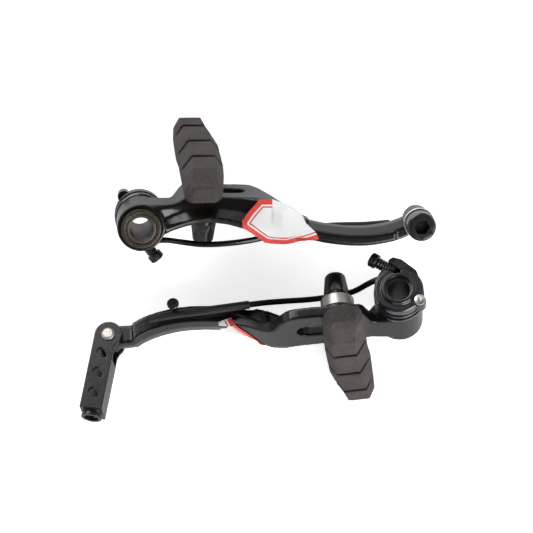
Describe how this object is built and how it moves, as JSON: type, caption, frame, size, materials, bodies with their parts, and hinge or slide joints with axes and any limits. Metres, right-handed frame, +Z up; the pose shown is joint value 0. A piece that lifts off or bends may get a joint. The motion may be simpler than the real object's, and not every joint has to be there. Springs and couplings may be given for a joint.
{
  "type": "bicycle brake",
  "caption": "Linear-pull bicycle rim brake taken off the bike: the cable anchor arm and its mirror-image link arm, with shoes, springs and hubs, lying side by side.",
  "frame": {"origin": "middle of the pair's footprint, on the surface it lies on", "axes": "+Z up from the surface, +X along the arms from the anchor arm's hub to its head, +Y from the link arm to the anchor arm"},
  "size_m": [0.1287, 0.1134, 0.0532],
  "materials": {
    "casting_black": "satin black paint over forged aluminium",
    "gloss_black": "glossy blue-black",
    "black_steel": "black oxide, semi-gloss",
    "bronzed_steel": "dark bronze, satin",
    "plain_steel": "plain steel, lightly worn",
    "bright_steel": "zinc plated",
    "spring_steel": "black spring wire",
    "black_sleeve": "matt black tube",
    "shoe_rubber": "dark grey-brown moulded rubber, fine grain",
    "brass_ring": "thin yellow ring",
    "label_paper": "white paper sticker with a wide red border"
  },
  "bodies": {
    "arms": {"anchor_arm": "casting_black", "link_arm": "casting_black", "anchor_spring_pin": "black_steel", "link_spring_pin": "black_steel", "anchor_label": "label_paper", "link_label": "label_paper", "link_rivet": "bright_steel"},
    "anchor_hub_body": {"anchor_front_ring": "bronzed_steel", "anchor_bush": "plain_steel", "anchor_spring_holder": "gloss_black", "anchor_spring": "spring_steel", "anchor_spring_sleeve": "black_sleeve", "anchor_locating_pin": "bright_steel"},
    "anchor_screw_body": {"anchor_tension_screw": "black_steel"},
    "anchor_shoe_slide_body": {"anchor_inner_dome": "black_steel", "anchor_outer_dome": "black_steel"},
    "anchor_shoe_tilt_body": {"anchor_inner_cup": "black_steel", "anchor_outer_cup": "black_steel", "anchor_nut_ring": "brass_ring"},
    "anchor_shoe_body": {"anchor_shoe": "shoe_rubber", "anchor_shoe_post": "plain_steel", "anchor_shoe_nut": "black_steel"},
    "link_hub_body": {"link_front_ring": "bronzed_steel", "link_bush": "plain_steel", "link_spring_holder": "gloss_black", "link_spring": "spring_steel", "link_spring_sleeve": "black_sleeve", "link_locating_pin": "bright_steel"},
    "link_screw_body": {"link_tension_screw": "black_steel"},
    "link_shoe_slide_body": {"link_inner_dome": "black_steel", "link_outer_dome": "black_steel"},
    "link_shoe_tilt_body": {"link_inner_cup": "black_steel", "link_outer_cup": "bright_steel", "link_nut_ring": "brass_ring"},
    "link_shoe_body": {"link_shoe": "shoe_rubber", "link_shoe_post": "plain_steel", "link_shoe_nut": "black_steel"},
    "cable_link_body": {"cable_link": "black_steel"},
    "cable_clamp_body": {"anchor_bolt": "bright_steel", "anchor_bolt_washer": "bright_steel"}
  },
  "joints": [
    {"name": "anchor_hub_turn", "type": "hinge", "parent": "arms", "child": "anchor_hub_body", "pos_m": [-0.042, 0.016, 0.0283], "axis": [-0.0833, 0.2924, -0.9527], "range_deg": [-12, 13], "stiffness_Nm_per_rad": 0.3, "deforming": ["anchor_spring", "anchor_spring_sleeve"]},
    {"name": "anchor_tension_screw", "type": "slide", "parent": "anchor_hub_body", "child": "anchor_screw_body", "axis": [0.6208, -0.7326, -0.2791], "range_m": [-0.002, 0.001]},
    {"name": "anchor_shoe_along_slot", "type": "slide", "parent": "arms", "child": "anchor_shoe_slide_body", "axis": [0.9962, 0, -0.0872], "range_m": [-0.0013, 0.011]},
    {"name": "anchor_shoe_tilt", "type": "hinge", "parent": "anchor_shoe_slide_body", "child": "anchor_shoe_tilt_body", "pos_m": [-0.01912, 0.02582, 0.02134], "axis": [0.9962, 0, -0.0872], "range_deg": [-27, 0.4]},
    {"name": "anchor_shoe_turn", "type": "hinge", "parent": "anchor_shoe_tilt_body", "child": "anchor_shoe_body", "pos_m": [-0.01912, 0.02582, 0.02134], "axis": [0.0442, 0.8616, 0.5056], "range_deg": [-20, 17]},
    {"name": "link_hub_turn", "type": "hinge", "parent": "arms", "child": "link_hub_body", "pos_m": [0.0524, -0.0144, 0.01415], "axis": [-0.0662, 0.3912, 0.9179], "range_deg": [0, 25], "stiffness_Nm_per_rad": 0.3, "deforming": ["link_spring", "link_spring_sleeve"]},
    {"name": "link_tension_screw", "type": "slide", "parent": "link_hub_body", "child": "link_screw_body", "axis": [-0.8275, 0.4925, -0.2695], "range_m": [0, 0.003]},
    {"name": "link_shoe_along_slot", "type": "slide", "parent": "arms", "child": "link_shoe_slide_body", "axis": [-0.9953, -0.0906, -0.0332], "range_m": [-0.0005, 0.0115]},
    {"name": "link_shoe_tilt", "type": "hinge", "parent": "link_shoe_slide_body", "child": "link_shoe_tilt_body", "pos_m": [0.02996, -0.02076, 0.02352], "axis": [-0.9953, -0.0906, -0.0332], "range_deg": [-18, 9]},
    {"name": "link_shoe_turn", "type": "hinge", "parent": "link_shoe_tilt_body", "child": "link_shoe_body", "pos_m": [0.02996, -0.02076, 0.02352], "axis": [0.0648, -0.8823, 0.4661], "range_deg": [-20, 17]},
    {"name": "cable_link_swing", "type": "hinge", "parent": "arms", "child": "cable_link_body", "pos_m": [-0.05438, -0.02644, 0.00723], "axis": [0.0662, -0.3912, -0.9179], "range_deg": [-60, 40]},
    {"name": "cable_clamp_lift", "type": "slide", "parent": "arms", "child": "cable_clamp_body", "axis": [0.0833, -0.2924, 0.9527], "range_m": [0, 0.0025]}
  ]
}
